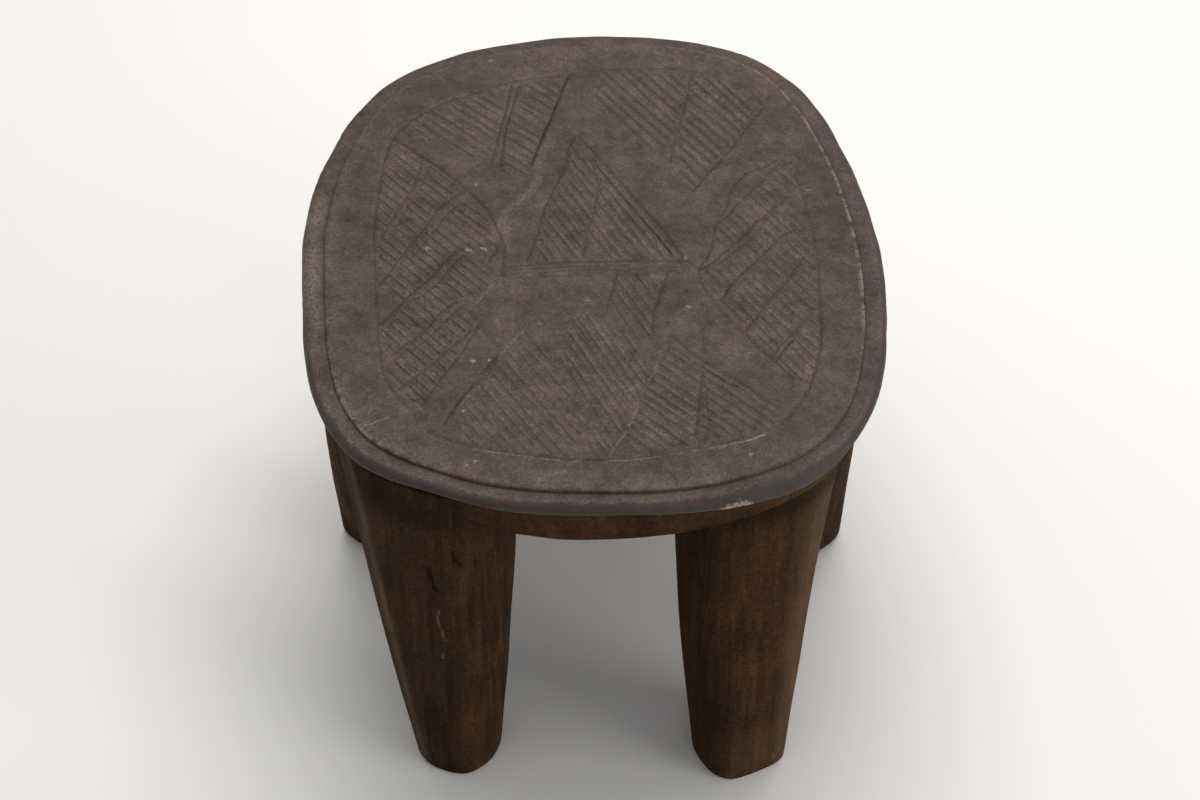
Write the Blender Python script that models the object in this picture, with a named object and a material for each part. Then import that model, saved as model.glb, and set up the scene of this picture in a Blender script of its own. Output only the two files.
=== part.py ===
"""Carved wooden stool, cut from one block of dark wood.

A rounded-oblong seat, stepped down to a lip round its edge and carved with long dividing lines, stands
on six thick legs. The legs taper from the inside: their outer faces stay upright, just inside the edge of
the seat, and run up over its sloping apron.
+Z is up, -Y is the front, and the floor is z = 0 with the middle of the seat above the origin.
"""

import math
from typing import NamedTuple

import bmesh
import bpy
from mathutils import Vector

# Driving dimensions, metres
SEAT_WIDTH = 0.330  # across X, lip to lip
SEAT_LENGTH = 0.418  # along Y, lip to lip
SEAT_HEIGHT = 0.248  # floor to the flat top
SEAT_THICKNESS = 0.0335  # flat top to the flat underside
LIP_WIDTH = 0.013  # edge of the seat to the step, at the sides and the rear
LIP_FRONT_WIDTH = 0.0095  # the same in the middle of the front
STEP_DEPTH = 0.0011  # drop from the flat top to the lip, at the sides and the rear
STEP_FRONT_DEPTH = 0.0018  # the same in the middle of the front
STEP_BATTER = 0.0005  # lean of the step
LIP_ROUND = 0.0042  # width of the rounding along the lip's upper edge
LIP_FALL = 0.0004  # the lip's top falls this much from the step to the rounding
LIP_WIDEST = 0.0068  # depth at which the lip reaches furthest out
LIP_HEIGHT = 0.010  # flat top to the lip's lower edge
CARVED_LINE_WIDTH = 0.0022
CARVED_LINE_DEPTH = 0.0011
APRON_TOP_INSET = 0.0025  # apron inside the edge of the seat, under the lip
APRON_FOOT_INSET = 0.010  # apron inside the edge of the seat, at the underside
CORNER_LEG_INSET = 0.005  # outer face of a corner leg inside the edge of the seat, at the top
MIDDLE_LEG_INSET = 0.0015  # the same for the two middle legs, which stand nearly flush with the lip
SET_BACK_LEG_INSET = 0.0085  # the same for the front right leg, which the apron's lower edge overhangs
FOOT_INSET = 0.002  # outer face of a leg inside the edge of the seat, at the floor
LEG_TOP_WIDTH = 0.082  # along the edge of the seat
LEG_TOP_DEPTH = 0.074  # from the outer face inward
FOOT_WIDTH = 0.049  # each way
LEG_SWELL = 0.001  # fullness of a leg half way up, on each side
FOOT_ROUND = 0.0045  # rounding round the bottom of a foot
CLEARANCE = 0.0003  # hairline between the seat and the top of a leg

# Shape of the seat's outline: power 2 is an ellipse, and higher powers have fuller corners
OUTLINE_POWER = 3.0
# Slow departures of the hand-cut edge: waves round the seat, with their cosine's and their sine's share of
# the depth of one careless cut
CARELESS_CUT = 0.001
HAND_CUT_WAVES = (
    (2, -0.7, -1.5),
    (3, -1.3, -1.6),
    (4, 2.7, -1.2),
    (5, 1.0, 1.3),
)

# Cross-section of a leg: a square-shouldered top and a rounder foot
LEG_TOP_POWER = 3.2
LEG_FOOT_POWER = 2.3

# The long lines carved into the flat top, as points in millimetres from its middle
MM = 0.001
CARVED_LINES = (
    # Frame round the carved field: rear, left, right, front
    ((-117, 104), (-92, 131), (-62, 149), (-30, 159), (4, 168), (50, 168), (73, 163), (91, 152),
     (104, 134)),
    ((-123, 88), (-125, 50), (-125, 5), (-118, -65), (-113, -104), (-100, -133), (-91, -144)),
    ((118, 64), (123, 46), (127, 0), (126, -51), (124, -87), (114, -126), (102, -147)),
    ((-83, -158), (-55, -168), (-12, -176.5), (10, -177), (54, -168.5), (96, -152)),
    # Left lens: its inner edge, then the lines across it
    ((-116, 91), (-99, 75), (-78, 51), (-61, 24), (-52, -8), (-50, -33)),
    ((-60, -71), (-71, -98), (-79, -115), (-87, -133)),
    ((-101, 66), (-106, 41), (-114, 20), (-120, 2)),
    ((-84, 40), (-92, 20), (-105, -7), (-116, -34)),
    ((-78, -11), (-88, -32), (-97, -48), (-112, -68)),
    ((-76, -54), (-86, -70), (-95, -85), (-106, -98)),
    ((-72, -86), (-79, -96), (-91, -111), (-99, -122)),
    # Right lens: its inner edge, then the lines across it
    ((109, 72), (92, 60), (80, 35), (71, 14), (65, -16), (59, -36), (68, -58), (83, -82), (98, -105),
     (109, -119)),
    ((108, 63), (100, 52), (89, 34), (80, 22)),
    ((112, 33), (100, 17), (87, 2), (70, -17)),
    ((115, 4), (103, -5), (90, -24), (76, -46)),
    ((116, -21), (105, -46), (94, -60), (86, -74)),
    ((119, -67), (107, -85), (98, -98)),
    # Rear panels
    ((-51, 146), (-55, 108), (-60, 72)),
    ((-16, 155), (-23, 123), (-32, 86), (-36, 68)),
    ((62, 154), (58, 128), (52, 100), (47, 73)),
    ((103, 121), (87, 90), (76, 71), (60, 45)),
    # Centre triangle and the double line under it
    ((-12, 92), (-16, 66), (-27, 28), (-36, -16)),
    ((-6, 95), (10, 66), (31, 26), (50, -13)),
    ((-45, -24), (-18, -22), (24, -20.5), (55, -20.5)),
    ((-41, -30), (-3, -27), (54, -26)),
    # Front panels
    ((14, -33), (7, -66)),
    ((42, -33), (38, -48), (33, -78)),
    ((-38, -80), (-51, -100), (-63, -123), (-76, -149)),
    ((38, -94), (29, -121), (17, -158), (11, -169)),
    ((44, -84), (58, -102), (80, -122), (97, -139)),
    ((58, -112), (55, -144), (53, -160)),
)

# Fineness of the solids
EDGE_POINTS = 96
LIP_STEPS = 4
LEG_POINTS = 28
LEG_STEPS = 8
FOOT_STEPS = 3

# Colour, roughness and metallic value of the two finishes
HANDLED_TOP = ((0.105, 0.076, 0.065, 1.0), 0.45, 0.0)
ADZED_LEG = ((0.065, 0.038, 0.020, 1.0), 0.55, 0.0)


class Leg(NamedTuple):
    """Bearings are degrees round the seat from +X, anticlockwise from above.

    Each hand-cut leg has its own share of the common top width and foot width.
    """
    name: str
    top_bearing: float
    foot_bearing: float
    top_inset: float
    top_share: float
    foot_share: float


LEGS = (
    Leg("leg_front_left", 237.0, 244.5, CORNER_LEG_INSET, 1.04, 0.98),
    Leg("leg_front_right", 300.3, 297.2, SET_BACK_LEG_INSET, 0.94, 1.08),
    Leg("leg_middle_left", 179.0, 178.0, MIDDLE_LEG_INSET, 1.0, 0.98),
    Leg("leg_middle_right", 2.0, 3.0, MIDDLE_LEG_INSET, 1.0, 0.98),
    Leg("leg_rear_left", 123.0, 117.0, CORNER_LEG_INSET, 1.0, 1.02),
    Leg("leg_rear_right", 58.0, 63.0, CORNER_LEG_INSET, 1.0, 1.02),
)


def uneven_edge(bearing):
    """Point of the hand-cut outline before it is fitted to the seat's width and length."""
    across = math.cos(bearing)
    along = math.sin(bearing)
    wide = abs(across / (SEAT_WIDTH / 2)) ** OUTLINE_POWER
    long = abs(along / (SEAT_LENGTH / 2)) ** OUTLINE_POWER
    radius = (wide + long) ** (-1 / OUTLINE_POWER)
    for waves, cosine_share, sine_share in HAND_CUT_WAVES:
        swing = cosine_share * math.cos(waves * bearing) + sine_share * math.sin(waves * bearing)
        radius += CARELESS_CUT * swing
    return Vector((radius * across, radius * along))


def seat_bearings():
    return [math.tau * step / EDGE_POINTS for step in range(EDGE_POINTS)]


def outline_fit():
    """Middle of the uneven outline, and the stretch that brings it to the seat's width and length."""
    points = [uneven_edge(bearing) for bearing in seat_bearings()]
    low = Vector((min(point.x for point in points), min(point.y for point in points)))
    high = Vector((max(point.x for point in points), max(point.y for point in points)))
    stretch = Vector((SEAT_WIDTH / (high.x - low.x), SEAT_LENGTH / (high.y - low.y)))
    return (low + high) / 2, stretch


OUTLINE_MIDDLE, OUTLINE_STRETCH = outline_fit()


def seat_edge(bearing):
    """Point of the seat's outline, seen from above."""
    point = uneven_edge(bearing) - OUTLINE_MIDDLE
    return Vector((point.x * OUTLINE_STRETCH.x, point.y * OUTLINE_STRETCH.y))


def outward(bearing):
    """Direction square to the seat's outline."""
    step = math.tau / EDGE_POINTS
    run = seat_edge(bearing + step) - seat_edge(bearing - step)
    return Vector((run.y, -run.x)).normalized()


def inside_edge(bearing, inset):
    return seat_edge(bearing) - outward(bearing) * inset


def quarter_round(start, end, steps, flat_first):
    """Points after start on a quarter ellipse to end; flat_first leaves start level, otherwise upright."""
    points = []
    for step in range(1, steps + 1):
        turn = math.pi / 2 * step / steps
        ahead = math.sin(turn)
        late = 1 - math.cos(turn)
        share_inset, share_depth = (ahead, late) if flat_first else (late, ahead)
        inset = start[0] + (end[0] - start[0]) * share_inset
        depth = start[1] + (end[1] - start[1]) * share_depth
        points.append((inset, depth))
    return points


def toward_front(bearing):
    """0 at the sides and the rear of the seat, rising to 1 in the middle of the front."""
    return max(0.0, -math.sin(bearing)) ** 2


def lip_edge_and_apron():
    """Inset from the seat's edge and depth below its top, from the lip's widest part to the underside."""
    lip_edge = (0.0, LIP_WIDEST)
    apron_top = (APRON_TOP_INSET, LIP_HEIGHT)
    profile = [lip_edge]
    profile += quarter_round(lip_edge, apron_top, LIP_STEPS, flat_first=False)
    profile.append((APRON_FOOT_INSET, SEAT_THICKNESS))
    return profile


def seat_profile(bearing):
    """The seat's section at one bearing, from the flat top over the step and the lip to the underside."""
    front = toward_front(bearing)
    lip_width = LIP_WIDTH + (LIP_FRONT_WIDTH - LIP_WIDTH) * front
    step_depth = STEP_DEPTH + (STEP_FRONT_DEPTH - STEP_DEPTH) * front
    lip_shoulder = (LIP_ROUND, step_depth + LIP_FALL)
    profile = [(lip_width + STEP_BATTER, 0.0), (lip_width, step_depth), lip_shoulder]
    profile += quarter_round(lip_shoulder, (0.0, LIP_WIDEST), LIP_STEPS, flat_first=True)
    return profile + lip_edge_and_apron()[1:]


def cutter_profile(bearing):
    """The lip's edge, the apron and the underside, larger by the clearance and alike at every bearing."""
    profile = [(inset - CLEARANCE, depth) for inset, depth in lip_edge_and_apron()]
    inset, depth = profile[-1]
    profile[-1] = (inset, depth + CLEARANCE)
    return profile


def seat_rings(profile_at):
    """One ring of points round the seat for each step of its profile, with z = 0 at the flat top."""
    columns = []
    for bearing in seat_bearings():
        columns.append([
            inside_edge(bearing, inset).to_3d() - Vector((0.0, 0.0, depth))
            for inset, depth in profile_at(bearing)
        ])
    return [list(ring) for ring in zip(*columns)]


def lofted_mesh(name, bodies):
    """Closed skins, each through its own rings of points, with a flat face over the first and the last."""
    bm = bmesh.new()
    for rings in bodies:
        loops = [[bm.verts.new(point) for point in ring] for ring in rings]
        count = len(rings[0])
        for upper, lower in zip(loops, loops[1:]):
            for here in range(count):
                ahead = (here + 1) % count
                bm.faces.new((upper[here], upper[ahead], lower[ahead], lower[here]))
        bm.faces.new(loops[0])
        bm.faces.new(loops[-1])
    bmesh.ops.recalc_face_normals(bm, faces=bm.faces)
    mesh = bpy.data.meshes.new(name)
    bm.to_mesh(mesh)
    bm.free()
    mesh.shade_smooth()
    mesh.set_sharp_from_angle(angle=math.radians(35))
    return mesh


def wood_material(name, finish):
    colour, roughness, metallic = finish
    material = bpy.data.materials.new(name)
    material.use_nodes = True
    shader = material.node_tree.nodes["Principled BSDF"]
    shader.inputs["Base Color"].default_value = colour
    shader.inputs["Roughness"].default_value = roughness
    shader.inputs["Metallic"].default_value = metallic
    material.diffuse_color = colour
    return material


def add_piece(name, mesh, location, parent):
    piece = bpy.data.objects.new(name, mesh)
    bpy.context.scene.collection.objects.link(piece)
    piece.location = location
    piece.parent = parent
    return piece


def add_cutter(name, mesh, parent):
    cutter = add_piece(name, mesh, (0.0, 0.0, SEAT_HEIGHT), parent)
    cutter.hide_render = True
    cutter.display_type = "WIRE"
    return cutter


def cut_away(piece, cutter, name):
    cut = piece.modifiers.new(name, "BOOLEAN")
    cut.operation = "DIFFERENCE"
    cut.solver = "EXACT"
    cut.object = cutter


def carved_line_rings(points):
    """Triangles along a carved line: the blade's edge below, its two flanks standing out of the wood."""
    stops = [Vector(point) * MM for point in points]
    flank_rise = CARVED_LINE_DEPTH / 4
    half_width = CARVED_LINE_WIDTH / 2 * (1 + flank_rise / CARVED_LINE_DEPTH)
    rings = []
    for here, stop in enumerate(stops):
        before = (stop - stops[here - 1]).normalized() if here > 0 else None
        ahead = (stops[here + 1] - stop).normalized() if here < len(stops) - 1 else None
        heading = ((before or ahead) + (ahead or before)).normalized()
        square = Vector((-heading.y, heading.x)) * half_width
        rings.append([
            (stop + square).to_3d() + Vector((0.0, 0.0, flank_rise)),
            stop.to_3d() - Vector((0.0, 0.0, CARVED_LINE_DEPTH)),
            (stop - square).to_3d() + Vector((0.0, 0.0, flank_rise)),
        ])
    return rings


def build_seat(parent):
    mesh = lofted_mesh("seat", [seat_rings(seat_profile)])
    mesh.materials.append(wood_material("handled_carved_wood", HANDLED_TOP))
    seat = add_piece("seat", mesh, (0.0, 0.0, SEAT_HEIGHT), parent)
    knife = lofted_mesh("carving_knife", [carved_line_rings(points) for points in CARVED_LINES])
    cut_away(seat, add_cutter("carving_knife", knife, parent), "carved_lines")


def build_seat_cutter(parent):
    """The seat's lip, apron and underside, larger by the clearance, that scribe the tops of the legs."""
    return add_cutter("leg_top_cutter", lofted_mesh("leg_top_cutter", [seat_rings(cutter_profile)]), parent)


def leg_section(centre, direction, half_width, half_depth, power, height):
    """A rounded-square ring; direction is the way that the leg's outer face looks."""
    sideways = Vector((-direction.y, direction.x))
    ring = []
    for step in range(LEG_POINTS):
        turn = math.tau * (step + 0.5) / LEG_POINTS
        side = math.cos(turn)
        out = math.sin(turn)
        reach = (abs(side / half_width) ** power + abs(out / half_depth) ** power) ** (-1 / power)
        point = centre + sideways * (side * reach) + direction * (out * reach)
        ring.append(Vector((point.x, point.y, height)))
    return ring


def leg_rings(leg):
    """Rings from the floor up into the seat, where the seat's own shape then cuts the top of the leg."""
    foot_bearing = math.radians(leg.foot_bearing)
    top_bearing = math.radians(leg.top_bearing)
    foot_width = FOOT_WIDTH * leg.foot_share
    top_width = LEG_TOP_WIDTH * leg.top_share
    foot = inside_edge(foot_bearing, FOOT_INSET + foot_width / 2)
    top = inside_edge(top_bearing, leg.top_inset + LEG_TOP_DEPTH / 2)
    leg_height = SEAT_HEIGHT - LIP_HEIGHT

    def ring_at(height, shrink):
        share = height / leg_height
        swell = LEG_SWELL * math.sin(math.pi * share) - shrink
        direction = outward(foot_bearing).lerp(outward(top_bearing), share).normalized()
        half_width = (foot_width + (top_width - foot_width) * share) / 2 + swell
        half_depth = (foot_width + (LEG_TOP_DEPTH - foot_width) * share) / 2 + swell
        power = LEG_FOOT_POWER + (LEG_TOP_POWER - LEG_FOOT_POWER) * share
        return leg_section(foot.lerp(top, share), direction, half_width, half_depth, power, height)

    rings = []
    for step in range(FOOT_STEPS):
        turn = math.pi / 2 * step / FOOT_STEPS
        rings.append(ring_at(FOOT_ROUND * (1 - math.cos(turn)), FOOT_ROUND * (1 - math.sin(turn))))
    for step in range(LEG_STEPS + 1):
        rings.append(ring_at(FOOT_ROUND + (leg_height - FOOT_ROUND) * step / LEG_STEPS, 0.0))
    return foot, rings


def build_leg(leg, cutter, parent):
    foot, rings = leg_rings(leg)
    origin = foot.to_3d()
    mesh = lofted_mesh(leg.name, [[[point - origin for point in ring] for ring in rings]])
    mesh.materials.append(wood_material(leg.name + "_adzed_wood", ADZED_LEG))
    piece = add_piece(leg.name, mesh, origin, parent)
    cut_away(piece, cutter, "scribed_to_seat")


def clear_scene():
    for item in list(bpy.data.objects):
        bpy.data.objects.remove(item, do_unlink=True)


def build_stool():
    clear_scene()
    stool = bpy.data.objects.new("stool", None)
    bpy.context.scene.collection.objects.link(stool)
    build_seat(stool)
    cutter = build_seat_cutter(stool)
    for leg in LEGS:
        build_leg(leg, cutter, stool)


build_stool()
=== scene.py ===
import math
import random
from typing import NamedTuple

import bpy
import numpy as np
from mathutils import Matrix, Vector, kdtree, noise
from mathutils.geometry import delaunay_2d_cdt


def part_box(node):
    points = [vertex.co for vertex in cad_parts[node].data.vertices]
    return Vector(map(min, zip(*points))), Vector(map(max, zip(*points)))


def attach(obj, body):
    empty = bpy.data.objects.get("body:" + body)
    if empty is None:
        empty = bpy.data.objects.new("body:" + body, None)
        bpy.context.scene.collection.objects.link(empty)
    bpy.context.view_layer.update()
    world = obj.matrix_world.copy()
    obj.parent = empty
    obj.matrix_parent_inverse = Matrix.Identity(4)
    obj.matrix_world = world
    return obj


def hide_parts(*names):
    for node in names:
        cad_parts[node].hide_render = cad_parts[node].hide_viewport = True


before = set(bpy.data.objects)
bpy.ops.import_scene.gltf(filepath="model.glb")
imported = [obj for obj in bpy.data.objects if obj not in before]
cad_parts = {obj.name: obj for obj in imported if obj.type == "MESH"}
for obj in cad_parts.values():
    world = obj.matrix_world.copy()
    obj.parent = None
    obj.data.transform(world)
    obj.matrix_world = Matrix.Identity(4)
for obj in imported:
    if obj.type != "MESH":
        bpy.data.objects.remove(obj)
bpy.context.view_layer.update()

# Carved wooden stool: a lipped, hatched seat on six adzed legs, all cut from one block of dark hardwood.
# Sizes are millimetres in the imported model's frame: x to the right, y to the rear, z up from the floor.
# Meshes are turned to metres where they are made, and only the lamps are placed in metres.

MM = 0.001
SEAT_LOW, SEAT_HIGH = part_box("seat")
SEAT_WIDTH = (SEAT_HIGH.x - SEAT_LOW.x) / MM
SEAT_LENGTH = (SEAT_HIGH.y - SEAT_LOW.y) / MM
SEAT_TOP = SEAT_HIGH.z / MM
SEAT_THICKNESS = (SEAT_HIGH.z - SEAT_LOW.z) / MM

# The seat's outline, by the same formula as the solids: a rounded oblong with slow waves, each given by how
# many go round, its cosine part and its sine part
OUTLINE_POWER = 3.0
HAND_CUT_WAVES = ((2, -0.7, -1.5), (3, -1.3, -1.6), (4, 2.7, -1.2), (5, 1.0, 1.3))
FIT_STEPS = 96
EDGE_STEPS = 880

# Where the finished edge stands a little proud of that outline, or behind it: bearing, spread in degrees
# and amount
EDGE_SWELLS = ((60, 12, 2.0), (92, 14, 2.5), (128, 12, 2.4), (180, 14, 1.4), (246, 9, -3.6),
               (293, 11, -3.8))

# The lip, the step from the border down to it, and the apron under it
LIP_WIDTH = 13.0
LIP_NARROWS_IN_FRONT = 3.5
STEP_DEPTH = 1.1
STEP_DEEPER_IN_FRONT = 0.7
LIP_HEIGHT = 10.0
APRON_TOP_INSET = 2.7
APRON_FOOT_INSET = 10.0

# The apron hangs lower between the front legs: bearing, spread in degrees, drop, and how far it swells out
APRON_BELLY = (268.0, 10.0, 3.4, 0.9)

# Where the lip's lower edge is hewn higher, or lower: bearing, spread in degrees, amount
LIP_LIFTS = ((248, 12, 2.2), (274, 10, 1.3), (297, 8, -3.2), (314, 7, 3.4))

# Painted shade in the crease between the apron and the front legs: bearing, spread in degrees, strength,
# then how far down the apron it starts, as a share
APRON_CREASE_SHADE = ((291, 9, 0.9), (248, 9, 0.7))
CREASE_STARTS = 0.75

# The apron's rings, from just below the lip to just above the underside, with how fast their hewn marks
# change on the way down, and the rings that close the underside
APRON_STEPS = 12
HEWN_DRIFT = 2.0
APRON_STARTS_BELOW = 0.5
APRON_ENDS_ABOVE = 0.8
UNDERSIDE_RISE = 0.4
UNDERSIDE_INSET = 0.3
UNDERSIDE_SHARES = (0.985, 0.9, 0.75, 0.6, 0.45, 0.3, 0.15)
BELLY_FADE_POWER = 8

# The legs: how far their feet and their tops stay inside the seat's edge, their depth at the top, how far
# they run up past the lip's lower edge, how far the painted shade under the apron spreads down, the swell
# of their sides and the rounding of their feet
FOOT_INSET = 2.0
UNDER_LIP_INSET = 0.3
LEG_TOP_DEPTH = 74.0
LEG_INTO_SEAT = 0.6
APRON_SHADE_DROP = 8.0
LEG_SWELL = 1.0
FOOT_ROUND = 4.5


class Leg(NamedTuple):
    """Bearings are degrees round the seat from +X, anticlockwise from above.

    Scratches and dark notches are (x, z) points. Flats are hewn off a leg's corners: degrees from its
    right side, as seen from outside the stool, towards its outer face, then the flat's depth at the foot
    and at the top. Flare is how far a leg's left and right side spread under the seat. Rubs are pale
    patches: x, z, radius and strength. A painted highlight down one edge and painted shade on one side
    run down the leg: their turn, as for the flats, their spread and strength. Apron shade is painted
    shade in the crease under the apron.
    """
    node: str
    top_bearing: float
    foot_bearing: float
    top_inset: float
    top_width: float
    foot_width: float
    scratches: tuple = ()
    flats: tuple = ()
    flare: tuple = (0.0, 0.0)
    rubs: tuple = ()
    foot_inset: float = FOOT_INSET
    highlighted_edge: tuple = (0.0, 1.0, 0.0)
    shaded_side: tuple = (0.0, 1.0, 0.0)
    apron_shade: float = 0.0
    notches: tuple = ()


# On the front legs a painted highlight runs down one edge, and painted shade lies on one side and under the
# apron
LEGS = (
    Leg("leg_front_left", 236.8, 244.3, 5.0, 96.0, 49.5,
        scratches=(((-82.3, 150), (-84.0, 141), (-82.3, 133), (-80.2, 125)),
                   ((-82.2, 113), (-82.6, 109))),
        flare=(3.0, 1.0), highlighted_edge=(116, 8, 0.17), shaded_side=(60, 30, 0.1), apron_shade=0.45,
        notches=(((-73, 196), (-71.5, 191), (-69, 185)), ((-86.5, 181), (-85.5, 174), (-83.5, 165)))),
    Leg("leg_front_right", 300.6, 297.15, 13.0, 80.5, 55.0, scratches=(((105, 12), (106.5, 5)),),
        flats=((42, 0.3, 0.6),), flare=(-6.0, 16.0), rubs=((97, 18, 34, 0.07),), foot_inset=-2.5,
        highlighted_edge=(63, 14, 0.15), shaded_side=(175, 42, 0.22), apron_shade=0.7),
    Leg("leg_middle_left", 181.0, 178.0, 1.0, 94.0, 48.0, flats=((40, 4.0, 0.0),), flare=(0.0, 5.0)),
    Leg("leg_middle_right", 2.0, 2.2, 1.5, 82.0, 48.0, flats=((140, 1.0, 0.0),), flare=(4.0, 0.0)),
    Leg("leg_rear_left", 123.0, 117.0, 5.0, 82.0, 50.0),
    Leg("leg_rear_right", 58.0, 63.0, 5.0, 82.0, 50.0),
)

# A leg's section is squarer at the top than at the foot and hewn in soft facets, which sharpen above the foot
LEG_TOP_POWER = 3.2
LEG_FOOT_POWER = 2.3
LEG_FACETS = 10
FACET_SOFTNESS = 18.0
FOOT_SOFTNESS = 12.0
FACET_SHARPENING = 3.0
FACET_FIT = 0.99
FACET_STRAYS = 0.22
FACET_WANDER = 0.9
FACET_WANDER_LENGTH = 60.0
FACET_SEEDS = (0, 50)
FACET_SEED_STEP = 3.7
FLARE_POWER = 3
FLAT_FADE_POWER = 4
RUB_FADES_AT = 1.2
LEG_ROUND_STEPS = 176
LEG_RISE_STEPS = 200
FOOT_STEPS = 8


class Wave(NamedTuple):
    """Unevenness left by hand work: its height, the length of its waves, and a seed for their places."""
    height: float
    length: float
    seed: float


class Patches(NamedTuple):
    """Patchy wear from 0 to 1: a wave round a level."""
    level: float
    wave: Wave


class Rub(NamedTuple):
    """A mark along a path: its strength, its half-width, and how many half-widths off it has faded out."""
    strength: float
    half_width: float
    fades_at: float


# Blade marks on the seat's top, the lip, the apron and the underside, and how a seed moves a wave
SLOW_WAVE = Wave(0.28, 46.0, 4.0)
QUICK_WAVE = Wave(0.13, 12.0, 5.0)
LIP_WANDER = Wave(0.5, 34.0, 8.0)
STEP_WANDER = Wave(0.25, 26.0, 9.0)
LIP_DENTS = Wave(0.8, 24.0, 12.0)
LIP_SWAY = Wave(1.0, 30.0, 21.0)
CHIP_JAGS = Wave(1.3, 5.0, 16.0)
APRON_HEWN = Wave(0.5, 19.0, 17.0)
UNDERSIDE_HEWN = Wave(0.4, 22.0, 19.0)
SEED_SPREAD = (1.0, 7.3, 3.1)

# Nicks in the lip, with their depth, and how far dents and nicks set its edge in and down
LIP_NICKS = Patches(-0.3, Wave(1.0, 6.0, 15.0))
NICK_DEPTH = 0.9
WORN_INSET = 0.7
WORN_DROP = 0.4

# Changes along a knife cut: to its sides, in depth and in width
CUT_WOBBLE = Wave(0.35, 11.0, 1.0)
CUT_PRESSURE = Wave(0.7, 13.0, 2.0)
CUT_SPREAD = Wave(0.22, 9.0, 3.0)

# Patchy wear: dust in the cuts, the rubbed band of the border, the step and the lip; then patches in the
# painted highlight along the lip's edge
DUST_PATCHES = Patches(0.75, Wave(1.3, 7.0, 6.0))
BAND_PATCHES = Patches(0.7, Wave(1.0, 6.0, 24.0))
STEP_PATCHES = Patches(0.55, Wave(1.5, 5.0, 22.0))
LIP_PATCHES = Patches(0.6, Wave(0.5, 14.0, 25.0))
ARRIS_PATCHES = Patches(0.6, Wave(1.2, 8.0, 23.0))

# The streak across the seat, and the scratches and notches on the legs
STREAK = Rub(0.18, 2.6, 1.4)
LEG_SCRATCH = Rub(0.34, 0.5, 1.6)
LEG_NOTCH = Rub(0.9, 1.0, 1.7)


class Blade(NamedTuple):
    """A kind of knife cut."""
    width: float
    depth: float


DEEP_CUT = Blade(1.8, 1.1)
FIRM_CUT = Blade(1.7, 0.95)
LIGHT_CUT = Blade(1.4, 0.65)
FAINT_CUT = Blade(1.2, 0.4)
BROAD_HATCH = Blade(2.2, 0.65)
SOFT_HATCH = Blade(2.0, 0.5)
HATCH = Blade(1.5, 0.45)
KEEN_HATCH = Blade(1.4, 0.65)
RUNG = Blade(1.2, 0.6)
SMEAR = Blade(3.0, 0.05)
FINE_HATCH = Blade(1.25, 0.42)
WORN_HATCH = Blade(1.1, 0.3)
SCRATCH = Blade(1.0, 0.12)
THREAD = Blade(0.7, 0.1)


class Line(NamedTuple):
    """A cut through listed points, the dust and red earth in it, and how pale the ridge beside it is."""
    points: tuple
    blade: Blade
    dust: float = 0.0
    earth: float = 0.0
    pale_ridge: float = 0.0


class Hatching(NamedTuple):
    """Straight parallel cuts: their lean in degrees from +X, how far apart they are, and their blade."""
    lean: float
    pitch: float
    blade: Blade


REAR_LEFT = Hatching(-45, 6.5, SOFT_HATCH)
REAR_RIGHT = Hatching(-58, 6.5, BROAD_HATCH)
CENTRE = Hatching(-63, 5.5, HATCH)
LEFT_LENS = Hatching(-50, 5.5, RUNG)
RIGHT_LENS = Hatching(-58, 5.5, FINE_HATCH)
FRONT_LEFT = Hatching(-58, 5.0, WORN_HATCH)
FRONT_MIDDLE = Hatching(-65, 4.5, WORN_HATCH)
FRONT_POINT = Hatching(-65, 5.5, FINE_HATCH)
FRONT_RIGHT = Hatching(-45, 5.5, KEEN_HATCH)


class Panel(NamedTuple):
    """A patch filled with one kind of hatching."""
    corners: tuple
    hatching: Hatching
    pale_ridge: float = 0.4


# The line that frames the carved field, from the rear left round to the front left
FRAME_LINES = (
    Line(((-120, 95), (-116, 106), (-106, 119), (-92, 131.5), (-78, 140), (-62, 149.5), (-47, 156),
          (-30, 159.5), (-19, 162)), FIRM_CUT),
    Line(((-19, 162), (4, 168), (27, 169), (50, 168), (73, 163), (91, 152), (101, 140), (106, 130)),
         LIGHT_CUT),
    Line(((113, 76), (119, 62), (123, 46), (125.5, 25), (127, 0), (127.5, -25), (126, -51)), FAINT_CUT),
    Line(((126, -51), (125.5, -68), (124, -87), (120, -107), (114, -126)), FIRM_CUT),
    Line(((114, -126), (108, -137), (101, -148)), LIGHT_CUT),
    Line(((-120, 95), (-123, 78), (-125, 50), (-125, 26), (-125, 5)), LIGHT_CUT),
    Line(((-125, 5), (-121, -35), (-118, -65), (-115, -90), (-110, -115), (-100, -133), (-90, -145)),
         FAINT_CUT),
    Line(((-84, -157), (-72, -163), (-55, -168.5), (-35, -172.5), (-12, -176.5)), LIGHT_CUT, 0.06),
    Line(((-12, -176.5), (10, -177), (32, -174), (54, -168.5), (74, -163), (90, -156), (100, -149)),
         LIGHT_CUT, 0.15),
)

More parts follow.
